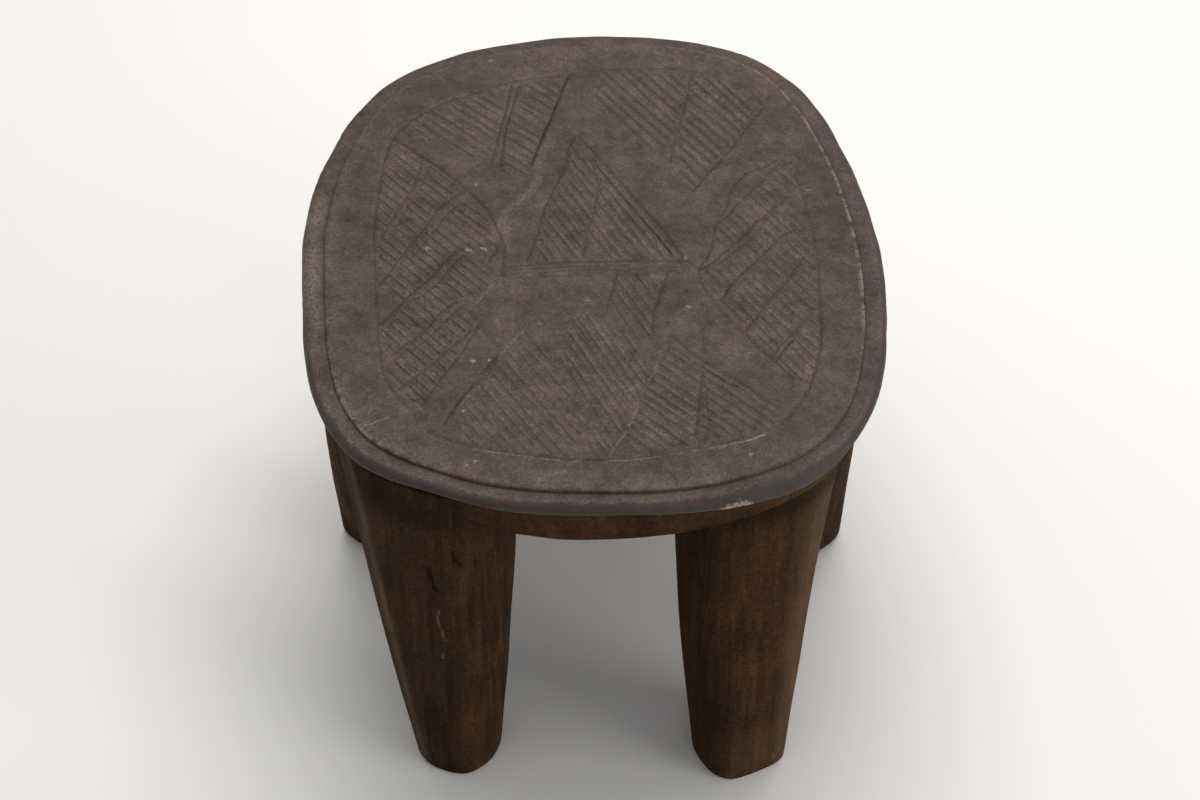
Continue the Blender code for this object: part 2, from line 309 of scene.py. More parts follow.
# Lines that part the hatched panels from each other
PARTING_LINES = (
    Line(((-50, 153), (-52, 129), (-55, 108), (-57, 91), (-60, 70)), FIRM_CUT),
    Line(((-45, 150), (-49, 124), (-52, 106), (-53, 87), (-54, 68)), FIRM_CUT),
    Line(((-14, 162), (-20, 137), (-23, 123), (-28, 103), (-32, 86), (-36, 68)), DEEP_CUT),
    Line(((62, 154), (58, 128), (52, 100), (47, 71)), LIGHT_CUT),
    Line(((106, 126), (97, 110), (87, 90), (82, 81)), LIGHT_CUT),
    Line(((82, 81), (76, 71), (68, 58), (59, 43)), FIRM_CUT),
    Line(((-11, 96), (-14, 84), (-16, 66), (-20, 53)), FIRM_CUT),
    Line(((-20, 53), (-27, 28), (-30, 10), (-33, -5), (-37, -21)), LIGHT_CUT),
    Line(((-8, 99), (5, 75), (10, 66), (21, 45), (31, 26), (40, 10), (48, -9), (52, -17)), FIRM_CUT),
    Line(((1, 74), (6, 62), (17, 40), (28, 19), (38, 0), (46, -16)), LIGHT_CUT),
    Line(((1, 70), (4, 50), (2, 29), (-2, 7), (-5, -14)), LIGHT_CUT),
    Line(((-46, -24), (-37, -23), (-18, -21), (6, -20), (16, -20)), FIRM_CUT),
    Line(((14, -20), (24, -20), (46, -20), (55, -20)), LIGHT_CUT),
    Line(((-41, -27), (-20, -25), (-5, -24), (20, -23.5)), LIGHT_CUT),
    Line(((-42, -30), (-21, -29), (-3, -26.5), (16, -27), (39, -25), (54, -26)), FAINT_CUT),
    Line(((-47, -35), (-33, -33), (-9, -32)), FAINT_CUT),
    Line(((14, -30), (11, -48), (7, -66)), LIGHT_CUT),
    Line(((43, -29), (38, -48), (34, -64), (33, -80)), FIRM_CUT),
    Line(((-37, -79), (-44, -89), (-51, -100)), SCRATCH, 0.3, 0.15),
    Line(((-50, -97), (-55, -106), (-59.5, -114)), DEEP_CUT),
    Line(((-58, -112), (-61, -118), (-64, -124)), FAINT_CUT, 0.3),
    Line(((-62, -120), (-67, -129), (-72, -139)), DEEP_CUT, 0.1),
    Line(((-70, -135), (-74, -144), (-77, -151)), DEEP_CUT, 0.12),
    Line(((-61.5, -124), (-65.5, -130.5), (-70.5, -140)), THREAD, 0.4),
    Line(((-12, -67), (-2, -88)), FAINT_CUT),
    Line(((39, -90), (33, -112), (29, -121), (25, -133)), SCRATCH, 0.16),
    Line(((26, -130), (23, -141), (17, -158), (13, -165), (9, -174)), SCRATCH, 0.32),
    Line(((43, -83), (58, -102), (70, -112), (80, -122), (90, -132), (98, -140)), FIRM_CUT),
    Line(((42, -91), (54, -104), (62, -111), (70, -118), (84, -130)), LIGHT_CUT),
    Line(((59, -111), (57, -127), (55, -144), (53, -161)), LIGHT_CUT),
    Line(((60, -136), (60, -154), (57, -166)), FAINT_CUT),
    Line(((60, -78), (60, -97)), FAINT_CUT),
)

# The two lens-shaped side panels: their edges and the long lines across them, mostly in pairs
LENS_LINES = (
    Line(((-120, 96), (-110, 86), (-100, 76), (-90, 66), (-80, 54), (-70, 41), (-63, 30), (-58, 20),
          (-54, 8),
          (-51, -2)), FIRM_CUT),
    Line(((-51, -2), (-50, -16), (-50, -33)), LIGHT_CUT),
    Line(((-102, 66), (-106, 45), (-113, 25), (-120, 2)), LIGHT_CUT, 0, 0.1),
    Line(((-97, 66), (-101, 47), (-108, 28), (-115, 6)), FAINT_CUT, 0, 0.1),
    Line(((-77, 42), (-88, 30), (-95, 13), (-105, -9), (-118, -40)), FIRM_CUT),
    Line(((-76, 33), (-84, 22), (-91, 6), (-101, -15)), LIGHT_CUT),
    Line(((-75, -8), (-84, -21), (-91, -35), (-101, -49), (-116, -74)), FIRM_CUT),
    Line(((-72, -14), (-80, -26), (-87, -40), (-98, -53)), LIGHT_CUT),
    Line(((-54, -10), (-58, -20)), FIRM_CUT),
    Line(((-56, -41), (-63, -55), (-70, -66)), SCRATCH, 0.25),
    Line(((-75, -54), (-84, -65), (-91, -78), (-107, -97)), FIRM_CUT),
    Line(((-71, -58), (-80, -70), (-87, -82), (-97, -94)), LIGHT_CUT),
    Line(((-66, -79), (-79, -96), (-91, -111), (-101, -124)), LIGHT_CUT),
    Line(((-60, -70), (-66, -85), (-71, -98), (-79, -114), (-88, -134)), LIGHT_CUT),
    Line(((113, 75), (104, 68), (92, 60)), LIGHT_CUT),
    Line(((92, 60), (85, 50), (81, 40), (79, 29), (75, 20)), FIRM_CUT),
    Line(((85, 31), (80, 22), (72, 13), (70, 3), (68, -8), (65, -18)), FIRM_CUT),
    Line(((65, -18), (60, -29), (63, -45), (69, -59), (76, -72), (84, -84), (98, -105), (107, -117)),
         LIGHT_CUT),
    Line(((113, 71), (104, 58), (92, 40), (85, 31)), FAINT_CUT),
    Line(((114, 36), (104, 25), (93, 12)), LIGHT_CUT),
    Line(((93, 12), (84, -2), (75, -13), (68, -22), (60, -28)), FIRM_CUT),
    Line(((98, 10), (90, -2), (79, -14), (71, -23)), LIGHT_CUT),
    Line(((116, 8), (106, -1), (98, -14), (86, -29), (78, -41), (72, -53)), FIRM_CUT),
    Line(((102, -13), (90, -28), (82, -40)), FAINT_CUT),
    Line(((119, -18), (112, -32), (104, -46), (95, -57)), LIGHT_CUT),
    Line(((95, -57), (91, -67), (83, -80)), FIRM_CUT, 0.0, 0.2),
    Line(((122, -62), (112, -77), (103, -90), (96, -101)), LIGHT_CUT),
    Line(((109, -87), (104, -94), (98, -104)), FIRM_CUT),
)

# Single scratches, nicks and smears on the seat
SCRATCHES = (
    Line(((-8, -177.3), (10, -177.6), (24, -176.5), (45, -172)), THREAD, 0.55),
    Line(((45, -172), (56, -169.8), (66, -167.4)), THREAD, 0.45),
    Line(((66, -167.4), (78.3, -164), (88, -159.5)), THREAD, 0.8),
    Line(((-60, -169), (-38, -173.5), (-16.5, -177.5)), SCRATCH, 0.35),
    Line(((-68.9, -184.4), (-65.5, -183), (-62.4, -182.6)), SCRATCH, 0.0, 1.4),
    Line(((-119.4, -151.8), (-112.4, -148.9), (-106, -145.2)), SCRATCH, 0.6),
    Line(((-99.7, -176.4), (-93, -177.4), (-86.4, -177.2)), LIGHT_CUT, 0.0, 0.6),
    Line(((103.8, -130.6), (106.5, -131.5), (108.9, -132.1)), FAINT_CUT),
    Line(((-91.5, -135.6), (-90, -137.5), (-88.7, -139.3)), SCRATCH, 0.9),
    Line(((-26.4, -189.5), (-19.9, -186.7), (-13.9, -184)), SMEAR, 0.4),
    Line(((64.3, -42.3), (65, -43), (65.8, -43.8)), SCRATCH, 0.0, 1.0),
    Line(((84.8, -5.2), (85.4, -5.8), (86, -6.5)), SCRATCH, 0.0, 1.0),
    Line(((85.4, -72.2), (86, -73), (86.7, -74)), SCRATCH, 0.0, 1.0),
)

PANELS = (
    # Rear left, outside and inside the double line
    Panel(((-117, 101), (-106, 118), (-88, 133), (-62, 148), (-53, 151), (-57, 100), (-61, 74), (-80, 80),
           (-95, 92)), REAR_LEFT),
    Panel(((-44, 150), (-34, 157), (-16, 160), (-25, 118), (-35, 74), (-37, 58), (-54, 60), (-53, 90),
           (-48, 130)), REAR_LEFT),
    # Rear right, left and right of its parting line
    Panel(((4, 165), (20, 168), (58, 166), (60, 150), (50, 100), (42, 82), (36, 80), (14, 122),
           (2, 140)), REAR_RIGHT),
    Panel(((64, 164), (88, 153), (103, 131), (92, 103), (77, 76), (60, 46), (47, 76), (58, 125)),
          REAR_RIGHT),
    # Centre triangle, left and right of its upright line
    Panel(((-11, 93), (0, 72), (3, 50), (1, 29), (-6, -19), (-35, -19), (-27, 28), (-16, 66)), CENTRE),
    Panel(((3, 74), (24, 40), (51, -18), (-4, -19), (-1, 7), (5, 50)), CENTRE),
    # Left lens, strip by strip between its long lines
    Panel(((-119, 93), (-110, 85), (-101, 71), (-107, 41), (-122, -4), (-124, 20), (-125, 45)),
          LEFT_LENS),
    Panel(((-96, 70), (-81, 53), (-82, 43), (-92, 20), (-109, -18), (-119, -38), (-121, -4), (-108, 30)),
          LEFT_LENS),
    Panel(((-78, 48), (-60, 22), (-53, -8), (-76, -10), (-88, -34), (-104, -53), (-117, -40), (-97, 3)),
          LEFT_LENS),
    Panel(((-75, -14), (-56, -20), (-58, -42), (-76, -53), (-86, -69), (-107, -98), (-116, -72),
           (-96, -47)), LEFT_LENS),
    Panel(((-70, -60), (-60, -64), (-75, -88), (-88, -105), (-100, -123), (-110, -108), (-97, -88),
           (-86, -72)), LEFT_LENS),
    Panel(((-65, -80), (-79, -115), (-87, -133), (-95, -136), (-99, -124), (-82, -102)), LEFT_LENS),
    # Right lens, strip by strip
    Panel(((112, 68), (122, 46), (125, 28), (115, 38), (104, 27), (83, -2), (64, -24), (70, 3), (76, 16),
           (91, 39)), RIGHT_LENS),
    Panel(((110, 29), (122, 8), (114, 5), (97, -14), (71, -55), (64, -44), (62, -31), (78, -12),
           (97, 13)), RIGHT_LENS),
    Panel(((117, 4), (126, -2), (126, -18), (119, -18), (97, -56), (84, -79), (72, -57), (93, -21)),
          RIGHT_LENS),
    Panel(((120, -19), (126, -24), (126, -50), (122, -61), (97, -100), (85, -81), (97, -58)), RIGHT_LENS),
    Panel(((123, -63), (125, -75), (120, -104), (113, -121), (98, -104), (111, -81)), RIGHT_LENS),
    # Front left, in two leanings
    Panel(((-40, -84), (-56, -112), (-74, -148), (-73, -160), (-56, -167), (-14, -175), (-2, -150),
           (-26, -92), (-36, -78)), FRONT_LEFT),
    Panel(((-12, -66), (-4, -60), (6, -72), (16, -96), (33, -106), (20, -147), (10, -172), (-10, -175),
           (0, -150), (-20, -95)), FRONT_MIDDLE),
    # Front centre, a triangle on its point
    Panel(((14, -32), (41, -30), (33, -66), (33, -78), (22, -98), (9, -58)), FRONT_POINT),
    # Front right, left and right of its parting line
    Panel(((40, -92), (57, -107), (57, -128), (53, -165), (34, -171), (13, -173), (26, -130)),
          FRONT_RIGHT),
    Panel(((60, -109), (87, -132), (97, -142), (97, -149), (84, -156), (57, -164), (57, -146)),
          FRONT_RIGHT),
)

# A pale streak rubbed across the seat
RUBBED_STREAK = ((-24, 98), (-27, 89), (-30, 78), (-31, 64), (-33, 49), (-41, 36), (-51, 20), (-49, 9),
                 (-48, -5))
STREAK_STEP = 4.0

# Where hands have rubbed the border paler, or darkened it: bearing, spread in degrees and share of its
# brightness, then how far in from the seat's edge that reaches, and over what length it fades
BORDER_TONES = ((75, 25, 0.15), (165, 22, -0.15), (10, 25, -0.13))
TONED_WIDTH = 50.0
TONE_FADES_OVER = 15.0

# Small pale chips: their strength, corners and unevenness, in radii where they start to fade, where they
# end and where the mesh points round them lie, then x, y and radius of each
CHIP_STRENGTH = 0.62
CHIP_CORNERS = 6
CHIP_UNEVENNESS = (0.6, 1.3)
CHIP_FADES_FROM = 1.0
CHIP_ENDS_AT = 1.5
CHIP_SURROUND = 1.6
CHIPS = (
    (-68.3, 50.7, 0.6), (128.2, 44.1, 0.5), (-93.5, -8.3, 0.9), (-70.8, -9.4, 1.0), (-69.2, -10.1, 1.0),
    (-62.1, -8.3, 0.8), (-60.9, -9, 0.8), (-63.3, -102.7, 0.9), (-55, -102.1, 0.7), (-84, -113, 0.5),
    (-67, -141, 0.6), (-46.4, -147.2, 0.5), (53.1, -59.3, 0.6), (52.9, -16.7, 0.6), (-63.4, 177.7, 0.6),
    (-2, -54.1, 0.6), (-59.6, -177.4, 0.5), (80.9, -173.3, 0.9), (-63.4, -180.2, 0.6),
)

# Where the step's upper edge and the lip's edge are rubbed pale, then where a painted highlight runs along
# the lip's arris: bearing, spread in degrees, strength
STEP_WEAR = ((65, 16, 1.0), (45, 14, 0.9), (15, 20, 1.0), (345, 16, 1.0), (230, 10, 0.85), (118, 24, 0.7),
             (275, 45, 0.35), (180, 35, 0.45))
STEP_DUST = ((70, 14, 0.15), (45, 14, 0.2), (15, 18, 0.5), (345, 14, 0.6), (228, 12, 0.4))
LIP_WEAR = ((232, 12, 0.25), (192, 18, 0.8), (178, 14, 0.8), (172, 2.5, 0.4), (255, 14, 0.1),
            (20, 25, 0.3))
ARRIS_HIGHLIGHT = ((226, 14, 0.8), (258, 16, 0.55), (300, 28, 0.4), (345, 20, 0.3))

# The border beside the step is rubbed brown: how wide, in how many widths it fades out, then bearing,
# spread in degrees and strength
BORDER_BAND = 7.0
BAND_FADES_AT = 1.2
BORDER_WEAR = ((165, 24, 0.3), (205, 20, 0.25), (235, 14, 0.4), (262, 20, 0.3), (300, 20, 0.15),
               (100, 20, 0.15))

# Where the step's dark line, painted shade with some grime, is fainter: bearing, spread in degrees, share of
# the dark lost
STEP_FADES = ((180, 30, 0.6), (218, 14, 0.5), (100, 20, 0.5))

# A fresh chip out of the lip's lower edge, in front: from x, to x, and its upper edge below the seat's top,
# then how far that edge rises and how its rise leans to the right
LIP_CHIP = (64.0, 81.0, 7.4)
LIP_CHIP_RISE = 1.8
LIP_CHIP_LEAN = 1.5

# Camera of the photographed view: place, the point it looks at, lens and sensor; then the studio floor
CAMERA_PLACE = (0.0, -887.2, 973.9)
CAMERA_LOOKS_AT = (4.5, -58.7, 176.4)
CAMERA_LENS = 60.0
CAMERA_SENSOR = 36.0
FLOOR_HALF_WIDTH = 6000.0


def linear(hex_colour):
    """An sRGB hex colour as linear red, green, blue and alpha."""
    channels = [int(hex_colour[place:place + 2], 16) / 255 for place in (1, 3, 5)]
    return tuple(c / 12.92 if c <= 0.04045 else ((c + 0.055) / 1.055) ** 2.4 for c in channels) + (1.0,)


# Outline of the seat

def uneven_edge(bearings):
    across = np.cos(bearings)
    along = np.sin(bearings)
    wide = np.abs(across / (SEAT_WIDTH / 2)) ** OUTLINE_POWER
    long = np.abs(along / (SEAT_LENGTH / 2)) ** OUTLINE_POWER
    radius = (wide + long) ** (-1 / OUTLINE_POWER)
    for waves, along_cosine, along_sine in HAND_CUT_WAVES:
        radius = radius + along_cosine * np.cos(waves * bearings) + along_sine * np.sin(waves * bearings)
    return np.stack((radius * across, radius * along), axis=-1)


def outline_fit():
    points = uneven_edge(np.arange(FIT_STEPS) * math.tau / FIT_STEPS)
    low = points.min(axis=0)
    high = points.max(axis=0)
    return (low + high) / 2, np.array((SEAT_WIDTH, SEAT_LENGTH)) / (high - low)


OUTLINE_MIDDLE, OUTLINE_STRETCH = outline_fit()


def bumps_round(bearings, bumps):
    """Height of a row of soft bumps at each bearing: their bearings, spreads in degrees and heights."""
    height = np.zeros(np.shape(bearings))
    for bearing, spread, strength in bumps:
        away = (np.degrees(bearings) - bearing + 180) % 360 - 180
        height = height + strength * np.exp(-(away / spread) ** 2)
    return height


def outline(bearings):
    """The seat's outline, fitted to its width and length."""
    return (uneven_edge(bearings) - OUTLINE_MIDDLE) * OUTLINE_STRETCH


def outward(bearings):
    """Directions square to the outline."""
    step = math.tau / FIT_STEPS
    run = outline(bearings + step) - outline(bearings - step)
    square = np.stack((run[..., 1], -run[..., 0]), axis=-1)
    return square / np.linalg.norm(square, axis=-1, keepdims=True)


def inside_outline(bearings, inset):
    return outline(bearings) - outward(bearings) * np.asarray(inset)[..., None]


def inside_edge(bearings, inset):
    """Points inside the finished edge of the seat, which swells and dips along the outline."""
    return inside_outline(bearings, inset - bumps_round(bearings, EDGE_SWELLS))


def reach_along(points, loop):
    """Distance from the middle to a closed loop, in the direction of each point."""
    loop_bearings = np.unwrap(np.arctan2(loop[:, 1], loop[:, 0]))
    bearings = np.arctan2(points[:, 1], points[:, 0])
    return np.interp(bearings, loop_bearings, np.linalg.norm(loop, axis=1), period=math.tau)


def waver(points, wave):
    """Height of a wave at each flat point."""
    shift = Vector([wave.seed * spread for spread in SEED_SPREAD])
    return wave.height * np.array([noise.noise(Vector((*(point / wave.length), 0.0)) + shift)
                                   for point in points])


def patchiness(points, patches):
    """Patchy wear at each flat point."""
    return np.clip(patches.level + waver(points, patches.wave), 0, 1)


# Carved lines

class Cuts(NamedTuple):
    """Short straight pieces of every carved line, as arrays."""
    starts: np.ndarray
    ends: np.ndarray
    half_widths: np.ndarray
    depths: np.ndarray
    dusts: np.ndarray
    earths: np.ndarray
    pale_ridges: np.ndarray


class Carving(NamedTuple):
    """What the cuts do at each point of the seat; clear is the distance to the nearest cut's edge."""
    depth: np.ndarray
    grime: np.ndarray
    dust: np.ndarray
    earth: np.ndarray
    ridge: np.ndarray
    clear: np.ndarray


# Points worked out between two given ones, and the fewest that a curve is cut down to
CURVE_SHARES = 12
FEWEST_POINTS = 3


def curve_through(points, step):
    """Evenly spaced points on a smooth curve through given ones."""
    knots = np.array(points, float)
    knots = np.vstack((2 * knots[0] - knots[1], knots, 2 * knots[-1] - knots[-2]))
    dense = []
    shares = np.linspace(0, 1, CURVE_SHARES, endpoint=False)[:, None]
    for before, here, ahead, after in zip(knots, knots[1:], knots[2:], knots[3:]):
        dense.append(0.5 * (2 * here + (ahead - before) * shares
                            + (2 * before - 5 * here + 4 * ahead - after) * shares ** 2
                            + (3 * here - before - 3 * ahead + after) * shares ** 3))
    dense = np.vstack(dense + [knots[-2:-1]])
    run = np.concatenate(([0.0], np.cumsum(np.linalg.norm(np.diff(dense, axis=0), axis=1))))
    count = max(FEWEST_POINTS, int(round(run[-1] / step)) + 1)
    stops = np.linspace(0, run[-1], count)
    return np.stack((np.interp(stops, run, dense[:, 0]), np.interp(stops, run, dense[:, 1])), axis=-1)


# How far single hatch cuts stray: lean in degrees, place as a share of their spacing, ends, and shares of
# width, depth and ridge paleness; where the first and last stand in a panel, as shares of their spacing;
# the points along each, and the shortest that is cut
HATCH_SEED = 11
HATCH_LEAN_STRAYS = 0.7
HATCH_PLACE_STRAYS = 0.05
HATCH_END_STRAYS = (-0.6, 1.6)
HATCH_WIDTH_STRAYS = (0.85, 1.15)
HATCH_DEPTH_STRAYS = (0.75, 1.25)
HATCH_RIDGE_STRAYS = (0.4, 1.3)
FIRST_HATCH = 0.5
LAST_HATCH = 0.3
HATCH_POINTS = 4
SHORTEST_HATCH = 4.0


def hatch_lines(panel, draw):
    """The parallel cuts of one panel, each a little off its place, leaning and depth."""
    corners = np.array(panel.corners, float)
    angle = math.radians(panel.hatching.lean)
    pitch = panel.hatching.pitch
    knife = panel.hatching.blade
    across = np.array((-math.sin(angle), math.cos(angle)))
    reach = corners @ across
    middle = corners.mean(axis=0)
    place = reach.min() + FIRST_HATCH * pitch
    lines = []
    while place < reach.max() - LAST_HATCH * pitch:
        lean = angle + math.radians(draw.gauss(0, HATCH_LEAN_STRAYS))
        along = np.array((math.cos(lean), math.sin(lean)))
        square = np.array((-along[1], along[0]))
        off_middle = place + pitch * draw.gauss(0, HATCH_PLACE_STRAYS) - middle @ across
        side = (corners - middle) @ square - off_middle
        crossings = []
        for here in range(len(corners)):
            ahead = (here + 1) % len(corners)
            if side[here] * side[ahead] < 0:
                share = side[here] / (side[here] - side[ahead])
                crossing = corners[here] + (corners[ahead] - corners[here]) * share
                crossings.append((crossing - middle) @ along)
        crossings.sort()
        for start, end in zip(crossings[::2], crossings[1::2]):
            start += draw.uniform(*HATCH_END_STRAYS)
            end -= draw.uniform(*HATCH_END_STRAYS)
            blade = Blade(knife.width * draw.uniform(*HATCH_WIDTH_STRAYS),
                          knife.depth * draw.uniform(*HATCH_DEPTH_STRAYS))
            if end - start > SHORTEST_HATCH:
                stops = np.linspace(start, end, HATCH_POINTS)[:, None]
                lines.append(Line(tuple(map(tuple, middle + stops * along + square * off_middle)), blade,
                                  pale_ridge=panel.pale_ridge * draw.uniform(*HATCH_RIDGE_STRAYS)))
        place += pitch
    return lines


def all_lines():
    draw = random.Random(HATCH_SEED)
    lines = list(FRAME_LINES + PARTING_LINES + LENS_LINES + SCRATCHES)
    for panel in PANELS:
        lines += hatch_lines(panel, draw)
    return lines


# The length of a cut's pieces, over what length and how far the blade lifts out, and how far apart the
# strokes lie in the noise
CUT_STEP = 2.4
CUT_TAPER = 4.0
CUT_TIP = 0.12
STROKE_SHIFT = 9.7

# Across a cut: the curve of its hollow, then in half-widths where dust ends, the pale ridge beside it and
# the mesh lines along it; cuts wider than the last value get the wide set
HOLLOW_POWER = 1.3
DUST_ENDS_AT = 1.5
RIDGE = 2.1
RIDGE_SPREAD = 0.9
NARROW_RAILS = (-1.0, 0.0, 1.0)
WIDE_RAILS = (-1.0, -0.5, 0.0, 0.5, 1.0)
HATCH_RAILS = (-1.0, 0.0, 1.0, RIDGE)
DUST_RAILS = (-1.7, -0.8, 0.0, 0.8, 1.7)
WIDE_CUT = 1.7

# Grime: the shallowest cut that holds it and how much, the depth at which it is full, and what counts as none
LEAST_GRIMED_DEPTH = 0.2
LEAST_GRIME = 0.35
GRIMED_DEPTH = 1.3
CLEAN_WOOD = 0.05

# How far from a point cuts are looked for, and what stands for no cut near
CUT_SEARCH = 3.4
FAR_FROM_CUTS = 99.0


def trace_line(line, number):
    """A cut's middle points, the direction across it, its half-width, depth and patchiness at each."""
    points = curve_through(line.points, CUT_STEP)
    run = np.concatenate(([0.0], np.cumsum(np.linalg.norm(np.diff(points, axis=0), axis=1))))
    heading = np.gradient(points, axis=0)
    heading /= np.linalg.norm(heading, axis=1, keepdims=True)
    square = np.stack((-heading[:, 1], heading[:, 0]), axis=-1)
    strokes = np.stack((run, np.full_like(run, number * STROKE_SHIFT)), axis=-1)
    points = points + square * waver(strokes, CUT_WOBBLE)[:, None]
    lift = np.clip(np.minimum(run, run[-1] - run) / CUT_TAPER, 0, 1)
    lift = CUT_TIP + (1 - CUT_TIP) * lift * (2 - lift)
    half_widths = line.blade.width / 2 * lift * (1 + waver(strokes, CUT_SPREAD))
    depths = line.blade.depth * lift * (1 + waver(strokes, CUT_PRESSURE))
    return points, square, half_widths, depths, patchiness(strokes, DUST_PATCHES)


def gather_cuts(traces, lines):
    """The cuts of all lines, piece by piece."""
    rows = []
    for (points, _, widths, depths, patchy), line in zip(traces, lines):
        rows.append((points[:-1], points[1:],
                     (widths[:-1] + widths[1:]) / 2, (depths[:-1] + depths[1:]) / 2,
                     patchy[1:] * line.dust, patchy[1:] * line.earth, patchy[1:] * line.pale_ridge))
    return Cuts(*(np.concatenate(column) for column in zip(*rows)))


def read_cuts(points, cuts, tree):
    """What the cuts do at each flat point."""
    pairs = []
    for index, point in enumerate(points):
        for _, piece, _ in tree.find_range(Vector((*point, 0.0)), CUT_SEARCH):
            pairs.append((index, piece))
    pairs = np.array(pairs, int).reshape(-1, 2)
    which, piece = pairs[:, 0], pairs[:, 1]
    start, end = cuts.starts[piece], cuts.ends[piece]
    run = end - start
    share = np.clip(((points[which] - start) * run).sum(axis=1) / (run ** 2).sum(axis=1), 0, 1)
    distance = np.linalg.norm(points[which] - start - run * share[:, None], axis=1)
    half_width = cuts.half_widths[piece]
    depth = cuts.depths[piece]
    inside = np.clip(1 - (distance / half_width) ** HOLLOW_POWER, 0, 1)
    grime = LEAST_GRIME + (1 - LEAST_GRIME) * depth / GRIMED_DEPTH
    grime = np.where(depth > LEAST_GRIMED_DEPTH, np.clip(grime, 0, 1), 0.0)
    near = np.clip(DUST_ENDS_AT - distance / half_width, 0, 1)
    beside = np.clip(1 - np.abs(distance / half_width - RIDGE) / RIDGE_SPREAD, 0, 1)
    carving = Carving(*(np.zeros(len(points)) for _ in range(5)), np.full(len(points), FAR_FROM_CUTS))
    for mark, values in ((carving.depth, inside * depth), (carving.grime, inside * grime),
                         (carving.dust, near * cuts.dusts[piece]),
                         (carving.earth, near * cuts.earths[piece]),
                         (carving.ridge, beside * cuts.pale_ridges[piece])):
        np.maximum.at(mark, which, values)
    np.minimum.at(carving.clear, which, distance - half_width)
    return carving


def distance_to_path(points, path):
    best = np.full(len(points), np.inf)
    for start, end in zip(path, path[1:]):
        run = end - start
        share = np.clip(((points - start) @ run) / (run @ run), 0, 1)
        best = np.minimum(best, np.linalg.norm(points - start - run * share[:, None], axis=1))
    return best


def rub_along(points, path, rub):
    """Strength of a mark along a path at each flat point."""
    away = distance_to_path(points, np.array(path, float))
    return rub.strength * np.clip(rub.fades_at - away / rub.half_width, 0, 1)


# The seat

class Ring(NamedTuple):
    """One loop round the seat's rim: how it counts the lip's width, the step's depth and its marks.

    In front the lip is hewn to a wider slope, so front_share is added to lip_share there.
    """
    lip_share: float
    inset: float
    sink: float
    depth: float
    front_share: float = 0.0
    cut: float = 0.0
    step_wear: float = 0.0
    lip_wear: float = 0.0
    # Share of the painted highlight along the lip's arris
    arris: float = 0.0
    # Share of the lip's outer face, which is dented and painted with a cool, dark reflection
    face_reflection: float = 0.0


# From the border over the step, along the lip, round its edge and down to where the apron starts. The cut
# column is painted shade, with some grime, on the step's face and under the lip's lower edge.
# The last column is the lip's outer face, dented and painted with a cool, dark reflection
LIP_RINGS = (
    Ring(1, 3.0, 0, 0),
    Ring(1, 1.7, 0, 0.05, step_wear=0.7),
    Ring(1, 1.0, 0.06, 0.08, step_wear=1),
    Ring(1, 0.5, 0.3, 0.1, step_wear=0.9),
    Ring(1, 0.25, 0.75, 0, cut=0.3),
    Ring(1, 0.1, 1.05, 0, cut=0.55),
    Ring(1, -0.3, 1.1, 0, cut=0.5),
    Ring(1, -0.8, 1, 0, cut=0.3),
    Ring(1, -2.4, 1, -0.03, cut=0.14, lip_wear=0.5),
    Ring(0.62, 0, 1, 0.15, lip_wear=0.8),
    Ring(0.42, 0, 1, 0.3, front_share=0.08, lip_wear=0.9, arris=0.3),
    Ring(0.30, 0, 1, 0.55, front_share=0.10, lip_wear=0.8, arris=1, face_reflection=0.1),
    Ring(0.20, 0, 0.9, 1.35, front_share=0.12, lip_wear=1, arris=0.4, face_reflection=0.7),
    Ring(0.11, 0, 0.7, 2.3, front_share=0.12, lip_wear=0.8, face_reflection=1),
    Ring(0.05, 0, 0.4, 3.7, front_share=0.08, lip_wear=0.5, face_reflection=1),
    Ring(0.015, 0, 0.2, 5.25, front_share=0.04, lip_wear=0.3, face_reflection=1),
    Ring(0, 0, 0, 7.0, lip_wear=0.2, face_reflection=1),
    Ring(0, 0.15, 0, 8.2, face_reflection=1),
    Ring(0, 0.6, 0, 9.2, face_reflection=0.8),
    Ring(0, 1.3, 0, 9.8, face_reflection=0.4),
    Ring(0, 2.2, 0, 10.1, cut=0.8),
)


def seat_relief(points):
    """Height of the blade's unevenness on the seat's top at each flat point."""
    return waver(points, SLOW_WAVE) + waver(points, QUICK_WAVE)


def worn_tone(points):
    """How much paler or darker than plain wood the seat's border is at each point."""
    loop = outline(np.arange(FIT_STEPS) * math.tau / FIT_STEPS)
    from_edge = reach_along(points, loop) - np.linalg.norm(points, axis=1)
    share = np.clip((TONED_WIDTH - from_edge) / TONE_FADES_OVER, 0, 1)
    return share * bumps_round(np.arctan2(points[:, 1], points[:, 0]), BORDER_TONES)


# The mesh between the cuts: spacing of its points, how far they stray, and what they keep clear of the rim
# and of the cuts
FILL_SEED = 3
FILL_SPACING = 2.4
FILL_STRAYS = 0.7
RIM_CLEARANCE = 1.2
CUT_CLEARANCE = 0.3
MERGE_DISTANCE = 0.002


